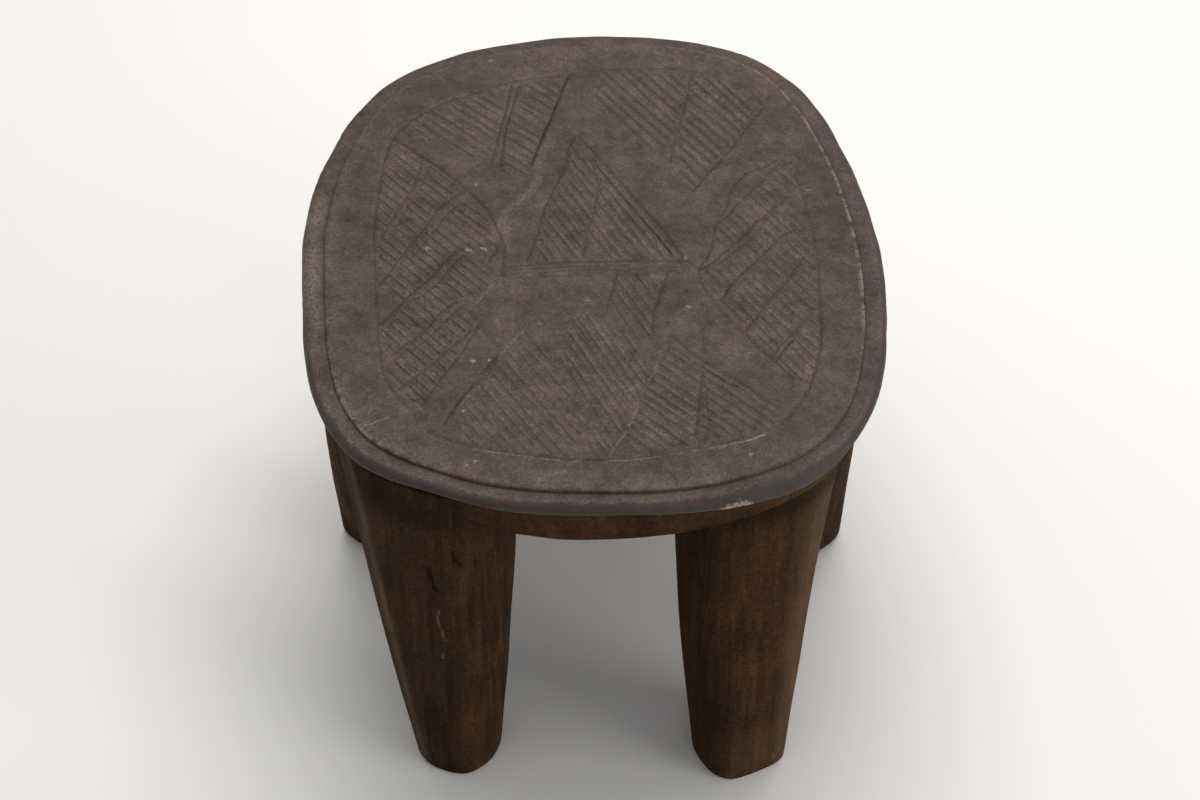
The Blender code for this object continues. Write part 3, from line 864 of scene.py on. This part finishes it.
def carved_plate(boundary):
    """The carved top inside the step: its points, triangles, marks and the points on its rim."""
    lines = all_lines()
    traces = [trace_line(line, number) for number, line in enumerate(lines)]
    cuts = gather_cuts(traces, lines)
    tree = kdtree.KDTree(len(cuts.starts))
    for index, middle in enumerate((cuts.starts + cuts.ends) / 2):
        tree.insert(Vector((*middle, 0.0)), index)
    tree.balance()

    corners = [boundary]
    edges = []
    count = len(boundary)
    for (points, square, half_widths, _, _), line in zip(traces, lines):
        rails = WIDE_RAILS if line.blade.width > WIDE_CUT else NARROW_RAILS
        if line.blade in (SCRATCH, THREAD):
            rails = DUST_RAILS
        for rail in HATCH_RAILS if line.pale_ridge else rails:
            corners.append(points + square * (half_widths * rail)[:, None])
            edges += [(count + step, count + step + 1) for step in range(len(points) - 1)]
            count += len(points)
    draw = np.random.default_rng(FILL_SEED)
    across = np.arange(-SEAT_WIDTH / 2, SEAT_WIDTH / 2, FILL_SPACING)
    along = np.arange(-SEAT_LENGTH / 2, SEAT_LENGTH / 2, FILL_SPACING)
    fill = np.stack(np.meshgrid(across, along), axis=-1).reshape(-1, 2)
    fill = fill + draw.uniform(-FILL_STRAYS, FILL_STRAYS, fill.shape)
    turns = np.arange(CHIP_CORNERS) * math.tau / CHIP_CORNERS
    for x, y, radius in CHIPS:
        star = np.stack((np.cos(turns), np.sin(turns)), axis=-1)
        star = star * draw.uniform(*CHIP_UNEVENNESS, (CHIP_CORNERS, 1))
        fill = np.vstack((fill, [(x, y)], star * radius + (x, y), star * radius * CHIP_SURROUND + (x, y)))
    fill = fill[np.linalg.norm(fill, axis=1) < reach_along(fill, boundary) - RIM_CLEARANCE]
    fill = fill[read_cuts(fill, cuts, tree).clear > CUT_CLEARANCE]
    corners.append(fill)

    corners = [Vector(corner) for corner in np.vstack(corners)]
    rim = list(range(len(boundary)))
    points, _, triangles, sources, _, _ = delaunay_2d_cdt(corners, edges, [rim], 1, MERGE_DISTANCE)
    points = np.array([(point.x, point.y) for point in points])
    carving = read_cuts(points, cuts, tree)
    height = seat_relief(points) - carving.depth
    streak = rub_along(points, curve_through(RUBBED_STREAK, STREAK_STEP), STREAK)
    from_rim = reach_along(points, boundary) - np.linalg.norm(points, axis=1)
    band = np.clip(BAND_FADES_AT - from_rim / BORDER_BAND, 0, 1) * patchiness(points, BAND_PATCHES)
    band *= bumps_round(np.arctan2(points[:, 1], points[:, 0]), BORDER_WEAR)
    scuff_and_highlight = np.maximum(band, carving.ridge * (carving.grime < CLEAN_WOOD))
    chip = np.zeros(len(points))
    for x, y, radius in CHIPS:
        away = np.linalg.norm(points - (x, y), axis=1)
        fade = (CHIP_ENDS_AT - away / radius) / (CHIP_ENDS_AT - CHIP_FADES_FROM)
        chip = np.maximum(chip, CHIP_STRENGTH * np.clip(fade, 0, 1))
    on_rim = {}
    for index, origin in enumerate(sources):
        for source in origin:
            if source < len(boundary):
                on_rim[source] = index
    marks = {"cut": carving.grime, "dust": np.maximum(carving.dust, streak), "earth": carving.earth,
             "scuff_and_highlight": scuff_and_highlight, "chip": chip, "face_reflection": np.zeros(len(points)), "tone": worn_tone(points)}
    return np.column_stack((points, height)), triangles, marks, [on_rim[index] for index in rim]


def make_piece(name, points, faces, marks, materials, face_material):
    """A smooth-shaded mesh object in metres, with its surface marks as point attributes."""
    mesh = bpy.data.meshes.new(name)
    mesh.from_pydata((np.asarray(points) * MM).tolist(), [], faces)
    for mark, values in marks.items():
        layer = mesh.attributes.new(mark, "FLOAT", "POINT")
        layer.data.foreach_set("value", np.asarray(values, np.float32))
    for material in materials:
        mesh.materials.append(material)
    mesh.polygons.foreach_set("material_index", np.asarray(face_material, np.int32))
    mesh.shade_smooth()
    mesh.update()
    piece = bpy.data.objects.new(name, mesh)
    bpy.context.scene.collection.objects.link(piece)
    return piece


def ring_faces(upper, lower):
    """Faces between two loops of the same count."""
    count = len(upper)
    return [(upper[here], lower[here], lower[(here + 1) % count], upper[(here + 1) % count])
            for here in range(count)]


def build_seat(top_wood, adzed_wood):
    """The carved top, then rings over the step and the lip, down the apron and across the underside."""
    bearings = np.arange(EDGE_STEPS) * math.tau / EDGE_STEPS
    edge = outline(bearings)
    in_front = np.clip(-np.sin(bearings), 0, 1) ** 2
    lip = LIP_WIDTH - LIP_NARROWS_IN_FRONT * in_front + waver(edge, LIP_WANDER)
    step_depth = STEP_DEPTH + STEP_DEEPER_IN_FRONT * in_front + waver(edge, STEP_WANDER)
    plate_edge = inside_edge(bearings, lip * LIP_RINGS[0].lip_share + LIP_RINGS[0].inset)
    points, faces, marks, upper = carved_plate(plate_edge)
    points[:, 2] += SEAT_TOP
    faces = list(faces)
    face_material = [0] * len(faces)
    rows = [points]
    count = len(points)
    marks = {mark: [values] for mark, values in marks.items()}

    def add_ring(flat, heights, ring_marks, material):
        nonlocal upper, count
        lower = list(range(count, count + EDGE_STEPS))
        rows.append(np.column_stack((flat, heights)))
        faces.extend(ring_faces(upper, lower))
        face_material.extend([material] * EDGE_STEPS)
        for mark, values in marks.items():
            values.append(np.broadcast_to(ring_marks.get(mark, 0.0), EDGE_STEPS))
        upper = lower
        count += EDGE_STEPS

    dents = waver(edge, LIP_DENTS) + NICK_DEPTH * patchiness(edge, LIP_NICKS)
    sway = waver(edge, LIP_SWAY) - bumps_round(bearings, LIP_LIFTS)
    jagged = waver(edge, CHIP_JAGS)
    rubbed = patchiness(edge, STEP_PATCHES)
    step_wear = rubbed * np.clip(bumps_round(bearings, STEP_WEAR), 0, 1)
    step_dust = rubbed * np.clip(bumps_round(bearings, STEP_DUST), 0, 1)
    # How much of the step's painted shade line is kept at each bearing
    step_shade = 1 - np.clip(bumps_round(bearings, STEP_FADES), 0, 1)
    lip_wear = bumps_round(bearings, LIP_WEAR) * patchiness(edge, LIP_PATCHES)
    # A painted highlight along the lip's arris
    arris_highlight = bumps_round(bearings, ARRIS_HIGHLIGHT)
    belly_bearing, belly_spread, belly_drop, belly_swell = APRON_BELLY
    belly = bumps_round(bearings, ((belly_bearing, belly_spread, 1.0),))
    # Painted shade in the crease where the apron meets the front legs
    crease = bumps_round(bearings, APRON_CREASE_SHADE)
    chip_left, chip_right, chip_top = LIP_CHIP
    for ring in LIP_RINGS[1:]:
        worn = ring.face_reflection * dents
        lip_inset = lip * (ring.lip_share + ring.front_share * in_front)
        flat = inside_edge(bearings, lip_inset + ring.inset + worn * WORN_INSET)
        chip_run = (flat[:, 0] - chip_left) / (chip_right - chip_left)
        chip_rise = LIP_CHIP_RISE * np.sin(math.pi * np.clip(chip_run, 0, 1) ** LIP_CHIP_LEAN)
        chip_edge = chip_top + jagged - chip_rise
        chipped = (flat[:, 1] < 0) & (chip_run > 0) & (chip_run < 1)
        chipped = np.clip(ring.depth - chip_edge, 0, 1) * chipped
        drop = ring.sink * step_depth + ring.depth + sway * ring.depth / LIP_HEIGHT + worn * WORN_DROP
        arris = arris_highlight * patchiness(edge + ring.depth, ARRIS_PATCHES)
        scuff_and_highlight = ring.step_wear * step_wear + ring.lip_wear * lip_wear + ring.arris * arris
        # The cut mark on these rings is painted shade on the step's face and under the lip's lower edge
        add_ring(flat, SEAT_TOP - drop + seat_relief(flat),
                 {"cut": ring.cut * step_shade, "face_reflection": ring.face_reflection, "tone": worn_tone(flat),
                  "chip": chipped, "dust": ring.step_wear * step_dust, "scuff_and_highlight": scuff_and_highlight}, 0)
    apron_height = SEAT_THICKNESS - LIP_HEIGHT - APRON_STARTS_BELOW - APRON_ENDS_ABOVE
    for step in range(APRON_STEPS + 1):
        share = step / APRON_STEPS
        inset = APRON_TOP_INSET + (APRON_FOOT_INSET - APRON_TOP_INSET) * share
        depth = LIP_HEIGHT + APRON_STARTS_BELOW + apron_height * share
        hewn = waver(edge + depth * HEWN_DRIFT, APRON_HEWN)
        drop = depth + belly_drop * belly * share + sway * (1 - share)
        # The apron's lowest rings carry the crease's painted shade
        add_ring(inside_edge(bearings, inset + hewn - belly_swell * belly * share), SEAT_TOP - drop,
                 {"cut": crease * max(0.0, (share - CREASE_STARTS) / (1 - CREASE_STARTS))}, 1)
    for share in UNDERSIDE_SHARES:
        flat = inside_edge(bearings, APRON_FOOT_INSET + UNDERSIDE_INSET) * share
        hang = belly_drop * belly * share ** BELLY_FADE_POWER
        height = SEAT_TOP - SEAT_THICKNESS + UNDERSIDE_RISE
        add_ring(flat, height - hang + waver(flat, UNDERSIDE_HEWN), {}, 1)
    faces.append(tuple(reversed(upper)))
    face_material.append(1)
    points = np.vstack(rows)
    marks = {mark: np.concatenate(values) for mark, values in marks.items()}
    return make_piece("seat_carved", points, faces, marks, (top_wood, adzed_wood), face_material)


# The legs

def build_leg(leg, adzed_wood):
    """A tapering leg of soft adze facets, from its worn foot up into the seat."""
    foot_bearing = math.radians(leg.foot_bearing)
    top_bearing = math.radians(leg.top_bearing)
    foot = inside_outline(np.array(foot_bearing), leg.foot_inset + leg.foot_width / 2)
    top = inside_outline(np.array(top_bearing), leg.top_inset + LEG_TOP_DEPTH / 2)
    foot_faces = outward(np.array(foot_bearing))
    top_faces = outward(np.array(top_bearing))
    leg_height = SEAT_TOP - LIP_HEIGHT
    left_flare, right_flare = leg.flare
    draw = random.Random(leg.node)
    facet_turns = np.array([math.tau * (facet + draw.uniform(-FACET_STRAYS, FACET_STRAYS)) / LEG_FACETS
                            for facet in range(LEG_FACETS)])
    seed = draw.uniform(*FACET_SEEDS)
    for flat_turn, _, _ in leg.flats:
        facet_turns = np.append(facet_turns, math.radians(flat_turn))
    limit = inside_edge(np.arange(FIT_STEPS) * math.tau / FIT_STEPS, UNDER_LIP_INSET)
    turns = np.arange(LEG_ROUND_STEPS) * math.tau / LEG_ROUND_STEPS

    def ring_at(height, shrink):
        share = height / leg_height
        swell = LEG_SWELL * math.sin(math.pi * share) - shrink
        direction = foot_faces + (top_faces - foot_faces) * share
        direction /= np.linalg.norm(direction)
        sideways = np.array((-direction[1], direction[0]))
        spread = share ** FLARE_POWER
        half_width = (leg.foot_width + (leg.top_width - leg.foot_width) * share) / 2 + swell
        half_width += (left_flare + right_flare) / 2 * spread
        half_depth = (leg.foot_width + (LEG_TOP_DEPTH - leg.foot_width) * share) / 2 + swell
        power = LEG_FOOT_POWER + (LEG_TOP_POWER - LEG_FOOT_POWER) * share
        dual = power / (power - 1)
        reach = ((half_width * np.abs(np.cos(facet_turns))) ** dual
                 + (half_depth * np.abs(np.sin(facet_turns))) ** dual) ** (1 / dual)
        wander = np.array([noise.noise(Vector((seed + FACET_SEED_STEP * facet,
                                               height / FACET_WANDER_LENGTH, 0.0)))
                           for facet in range(len(facet_turns))])
        reach = reach * FACET_FIT + FACET_WANDER * wander
        for facet, (_, foot_cut, top_cut) in enumerate(leg.flats, LEG_FACETS):
            reach[facet] -= foot_cut * (1 - share) ** FLAT_FADE_POWER + top_cut * share
        softness = FOOT_SOFTNESS + (FACET_SOFTNESS - FOOT_SOFTNESS) * min(1.0, FACET_SHARPENING * share)
        toward = np.clip(np.cos(turns[:, None] - facet_turns[None, :]), 0, 1) / reach[None, :]
        radius = (toward ** softness).sum(axis=1) ** (-1 / softness)
        middle = foot + (top - foot) * share + sideways * (right_flare - left_flare) / 2 * spread
        flat = (middle + sideways * (np.cos(turns) * radius)[:, None]
                + direction * (np.sin(turns) * radius)[:, None])
        within = np.minimum(reach_along(flat, limit) / np.linalg.norm(flat, axis=1), 1)
        flat = flat * within[:, None]
        return np.column_stack((flat, np.full(LEG_ROUND_STEPS, height)))

    rings = []
    for step in range(FOOT_STEPS):
        turn = math.pi / 2 * step / FOOT_STEPS
        rings.append(ring_at(FOOT_ROUND * (1 - math.cos(turn)), FOOT_ROUND * (1 - math.sin(turn))))
    rise = leg_height + LEG_INTO_SEAT - FOOT_ROUND
    for step in range(LEG_RISE_STEPS + 1):
        rings.append(ring_at(FOOT_ROUND + rise * step / LEG_RISE_STEPS, 0.0))
    loops = [list(range(start, start + LEG_ROUND_STEPS))
             for start in range(0, len(rings) * LEG_ROUND_STEPS, LEG_ROUND_STEPS)]
    faces = [tuple(reversed(loops[0]))]
    for lower, upper in zip(loops, loops[1:]):
        faces += ring_faces(upper, lower)
    faces.append(tuple(loops[-1]))
    points = np.vstack(rings)
    seen_from_front = points[:, [0, 2]]
    in_front = points[:, 1] < foot[1]
    # Pale marks: a painted highlight down one edge, scratches and pale patches
    scuff_and_highlight = np.tile(bumps_round(turns, (leg.highlighted_edge,)), len(rings))
    for scratch in leg.scratches:
        scuff_and_highlight = np.maximum(scuff_and_highlight, rub_along(seen_from_front, scratch, LEG_SCRATCH) * in_front)
    for x, z, radius, strength in leg.rubs:
        away = np.linalg.norm(seen_from_front - (x, z), axis=1)
        scuff_and_highlight = np.maximum(scuff_and_highlight, strength * np.clip(RUB_FADES_AT - away / radius, 0, 1) * in_front)
    # Dark marks: painted shade on one side of the leg and just under the apron, and dark notches
    below_apron = np.clip(SEAT_TOP - SEAT_THICKNESS - points[:, 2], 0, None)
    grime = np.maximum(np.tile(bumps_round(turns, (leg.shaded_side,)), len(rings)),
                       leg.apron_shade * np.exp(-below_apron / APRON_SHADE_DROP))
    for notch in leg.notches:
        grime = np.maximum(grime, rub_along(seen_from_front, notch, LEG_NOTCH) * in_front)
    marks = {"scuff_and_highlight": scuff_and_highlight, "cut": grime}
    return make_piece(leg.node + "_adzed", points, faces, marks, (adzed_wood,), [0] * len(faces))


# Materials

def add_node(tree, kind, settings=None, links=None):
    """One shader node with its settings, and values or links for its inputs."""
    node = tree.nodes.new("ShaderNode" + kind)
    for name, value in (settings or {}).items():
        setattr(node, name, value)
    for socket, value in (links or {}).items():
        if isinstance(value, bpy.types.NodeSocket):
            tree.links.new(value, node.inputs[socket])
        else:
            node.inputs[socket].default_value = value
    return node


def new_material(name):
    """A material with a bare surface shader, its node tree, and that shader."""
    material = bpy.data.materials.new(name)
    material.use_nodes = True
    tree = material.node_tree
    tree.nodes.clear()
    shader = add_node(tree, "BsdfPrincipled")
    add_node(tree, "OutputMaterial", links={"Surface": shader.outputs["BSDF"]})
    return material, tree, shader


def per_size(millimetres):
    """Texture scale, in object metres, for marks of this size."""
    return 1 / (millimetres * MM)


def handled_hardwood():
    """Dense dark hardwood, end grain up, carved with a knife, then greyed and rubbed by years of hands.

    To the eye it is a dull grey-brown, blotched and flecked, with dark cuts and a soft sheen.
    """
    material, tree, shader = new_material("handled_carved_hardwood")
    place = add_node(tree, "TexCoord").outputs["Object"]
    stroke = add_node(tree, "Mapping", {"vector_type": "TEXTURE"},
                      {"Vector": place, "Rotation": (0.0, 0.0, math.radians(-56)),
                       "Scale": (12.0, 1.0, 1.0)})
    # Real pores, scratches and dust are about 0.2 mm wide; they are drawn coarser so that they show
    pattern = {}
    for name, where, size, detail, roughness in (("blotch", place, 26, 5.0, 0.6),
                                                 ("stain", place, 9, 6.0, 0.7),
                                                 ("fleck", place, 1.5, 4.0, 0.8),
                                                 ("patch", place, 22, 6.0, 0.6),
                                                 ("scratch", stroke.outputs[0], 1.8, 3.0, 0.7),
                                                 ("speck", place, 0.8, 2.0, 0.5)):
        pattern[name] = add_node(tree, "TexNoise", links={"Vector": where, "Scale": per_size(size),
                                                          "Detail": detail,
                                                          "Roughness": roughness}).outputs["Fac"]
    for name in ("cut", "scuff_and_highlight", "dust", "earth", "chip", "face_reflection", "tone"):
        pattern[name] = add_node(tree, "Attribute", {"attribute_name": name}).outputs["Fac"]
    amount = {}
    for name, source, low, high, at_low, at_high in (("mottled", "stain", 0.3, 0.7, 0.58, 1.42),
                                                     ("darkened", "patch", 0.52, 0.7, 0.0, 0.7),
                                                     ("reddened", "patch", 0.5, 0.3, 0.0, 0.5),
                                                     ("scratched", "scratch", 0.3, 0.7, 0.86, 1.14),
                                                     ("flecked", "fleck", 0.3, 0.7, 0.4, 1.6),
                                                     ("dusted", "speck", 0.62, 0.74, 0.0, 0.4),
                                                     ("grime_and_shade", "cut", 0.05, 0.9, 0.0, 0.8),
                                                     ("broken", "fleck", 0.4, 0.6, 0.15, 1.0),
                                                     ("dull", "stain", 0.3, 0.7, 0.68, 0.54)):
        amount[name] = add_node(tree, "MapRange", links={0: pattern[source], 1: low, 2: high,
                                                         3: at_low, 4: at_high}).outputs[0]
    toned = add_node(tree, "Math", {"operation": "ADD"}, {0: pattern["tone"], 1: 1.0}).outputs[0]
    # A painted cool, dark reflection on the lip's outer face
    painted_reflection = add_node(tree, "Math", {"operation": "MULTIPLY"},
                        {0: pattern["face_reflection"], 1: 0.78}).outputs[0]
    layers = [("MULTIPLY", 1.0, amount["mottled"]),
              ("MIX", amount["darkened"], linear("#372e2c")),
              ("MIX", amount["reddened"], linear("#55453c")),
              ("MULTIPLY", 1.0, toned),
              ("MULTIPLY", 1.0, amount["scratched"]),
              ("MULTIPLY", 1.0, amount["flecked"]),
              ("MIX", amount["dusted"], linear("#857a70")),
              ("MIX", painted_reflection, linear("#393230")),
              # Grime in the knife cuts, and painted shade on the step's face and under the lip's lower edge
              ("MIX", amount["grime_and_shade"], linear("#2a1a13"))]
    # Pale marks: wear, dust, red earth and chips, and a painted highlight along the lip's arris
    for mark, colour in (("scuff_and_highlight", "#7b695d"), ("dust", "#96887a"), ("earth", "#85403a"),
                         ("chip", "#ada08d")):
        shown = add_node(tree, "Math", {"operation": "MULTIPLY"}, {0: pattern[mark], 1: amount["broken"]})
        layers.append(("MIX", shown.outputs[0], linear(colour)))
    brown = add_node(tree, "ValToRGB", links={"Fac": pattern["blotch"]})
    for stop, position, colour in zip(brown.color_ramp.elements, (0.36, 0.66), ("#3a2e26", "#4d3c31")):
        stop.position = position
        stop.color = linear(colour)
    base = brown.outputs[0]
    for blend, share, colour in layers:
        base = add_node(tree, "Mix", {"data_type": "RGBA", "blend_type": blend},
                        {0: share, 6: base, 7: colour}).outputs[2]
    pits = add_node(tree, "Bump", links={"Strength": 0.5, "Distance": 0.2 * MM,
                                         "Height": pattern["fleck"]})
    dents = add_node(tree, "Bump", links={"Strength": 0.4, "Distance": 0.5 * MM,
                                          "Height": pattern["stain"],
                                          "Normal": pits.outputs[0]})
    tree.links.new(base, shader.inputs["Base Color"])
    tree.links.new(amount["dull"], shader.inputs["Roughness"])
    tree.links.new(dents.outputs[0], shader.inputs["Normal"])
    shader.inputs["Specular IOR Level"].default_value = 0.25
    return material


def adzed_hardwood():
    """The same wood down its side grain, left as the adze hewed it.

    To the eye it is darker, browner and duller than the top, with upright streaks and pores.
    """
    material, tree, shader = new_material("adzed_side_grain_hardwood")
    place = add_node(tree, "TexCoord").outputs["Object"]
    grain = add_node(tree, "Mapping", links={"Vector": place, "Scale": (1.0, 1.0, 0.08)}).outputs[0]
    # Real pores are about 0.2 mm wide; they are drawn coarser so that they show
    pattern = {}
    for name, where, size, detail, roughness in (("streak", grain, 5, 6.0, 0.65),
                                                 ("pore", place, 2.0, 4.0, 0.8),
                                                 ("blotch", place, 30, 5.0, 0.6)):
        pattern[name] = add_node(tree, "TexNoise", links={"Vector": where, "Scale": per_size(size),
                                                          "Detail": detail,
                                                          "Roughness": roughness}).outputs["Fac"]
    for name in ("scuff_and_highlight", "cut"):
        pattern[name] = add_node(tree, "Attribute", {"attribute_name": name}).outputs["Fac"]
    amount = {}
    for name, source, at_low, at_high in (("streaked", "streak", 0.58, 1.42),
                                          ("pored", "pore", 0.45, 1.55),
                                          ("dull", "blotch", 0.78, 0.62)):
        amount[name] = add_node(tree, "MapRange", links={0: pattern[source], 1: 0.3, 2: 0.7,
                                                         3: at_low, 4: at_high}).outputs[0]
    brown = add_node(tree, "ValToRGB", links={"Fac": pattern["blotch"]})
    for stop, position, colour in zip(brown.color_ramp.elements, (0.34, 0.68), ("#312115", "#3f2a18")):
        stop.position = position
        stop.color = linear(colour)
    base = brown.outputs[0]
    for blend, share, colour in (("MULTIPLY", 1.0, amount["streaked"]),
                                 ("MULTIPLY", 1.0, amount["pored"]),
                                 # Pale marks: scratches, pale patches and a painted highlight down the front
                                 # legs' edges; dark marks: notches, and painted shade on the legs' sides,
                                 # under the apron and in the apron's crease
                                 ("MIX", pattern["scuff_and_highlight"], linear("#8d775c")),
                                 ("MIX", pattern["cut"], linear("#150d09"))):
        base = add_node(tree, "Mix", {"data_type": "RGBA", "blend_type": blend},
                        {0: share, 6: base, 7: colour}).outputs[2]
    pits = add_node(tree, "Bump", links={"Strength": 0.4, "Distance": 0.2 * MM,
                                         "Height": pattern["pore"]})
    ridges = add_node(tree, "Bump", links={"Strength": 0.5, "Distance": 0.4 * MM,
                                           "Height": pattern["streak"],
                                           "Normal": pits.outputs[0]})
    tree.links.new(base, shader.inputs["Base Color"])
    tree.links.new(amount["dull"], shader.inputs["Roughness"])
    tree.links.new(ridges.outputs[0], shader.inputs["Normal"])
    shader.inputs["Specular IOR Level"].default_value = 0.03
    return material


def studio_paper():
    """Matt rolled paper for the floor: to the eye an even off-white without sheen."""
    material, _, shader = new_material("studio_paper")
    shader.inputs["Base Color"].default_value = linear("#ebe8e3")
    shader.inputs["Roughness"].default_value = 0.9
    return material


# Stage, light and camera

def build_floor():
    mesh = bpy.data.meshes.new("studio_floor")
    side = FLOOR_HALF_WIDTH * MM
    corners = [(-side, -side, 0), (side, -side, 0), (side, side, 0), (-side, side, 0)]
    mesh.from_pydata(corners, [], [(0, 1, 2, 3)])
    mesh.materials.append(studio_paper())
    floor = bpy.data.objects.new("studio_floor", mesh)
    bpy.context.scene.collection.objects.link(floor)


def aim(item, place, target):
    item.location = place
    item.rotation_euler = (Vector(target) - Vector(place)).to_track_quat("-Z", "Y").to_euler()


def add_softbox(name, place, target, side, watts):
    """A square lamp; places and sizes in metres."""
    lamp = bpy.data.lights.new(name, "AREA")
    lamp.shape = "SQUARE"
    lamp.size = side
    lamp.energy = watts
    box = bpy.data.objects.new(name, lamp)
    bpy.context.scene.collection.objects.link(box)
    aim(box, place, target)


def light_studio():
    world = bpy.data.worlds.new("studio_surround")
    bpy.context.scene.world = world
    world.use_nodes = True
    surround = world.node_tree.nodes["Background"]
    surround.inputs["Color"].default_value = (0.97, 0.98, 1.0, 1.0)
    surround.inputs["Strength"].default_value = 0.45
    add_softbox("overhead_softbox", (0.12, 0.75, 2.0), (0.0, 0.0, 0.2), side=1.6, watts=36.0)
    add_softbox("side_softbox", (2.1, -1.1, 0.65), (0.0, 0.0, 0.12), side=1.2, watts=24.0)


def place_camera():
    lens = bpy.data.cameras.new("photograph_view")
    lens.lens = CAMERA_LENS
    lens.sensor_width = CAMERA_SENSOR
    camera = bpy.data.objects.new("photograph_view", lens)
    bpy.context.scene.collection.objects.link(camera)
    aim(camera, Vector(CAMERA_PLACE) * MM, Vector(CAMERA_LOOKS_AT) * MM)
    bpy.context.scene.camera = camera
    bpy.context.scene.view_settings.view_transform = "Standard"


def build_stool():
    top_wood = handled_hardwood()
    adzed_wood = adzed_hardwood()
    seat = build_seat(top_wood, adzed_wood)
    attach(seat, "root")
    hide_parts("seat")
    for leg in LEGS:
        piece = build_leg(leg, adzed_wood)
        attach(piece, "root")
        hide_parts(leg.node)


build_stool()
build_floor()
light_studio()
place_camera()
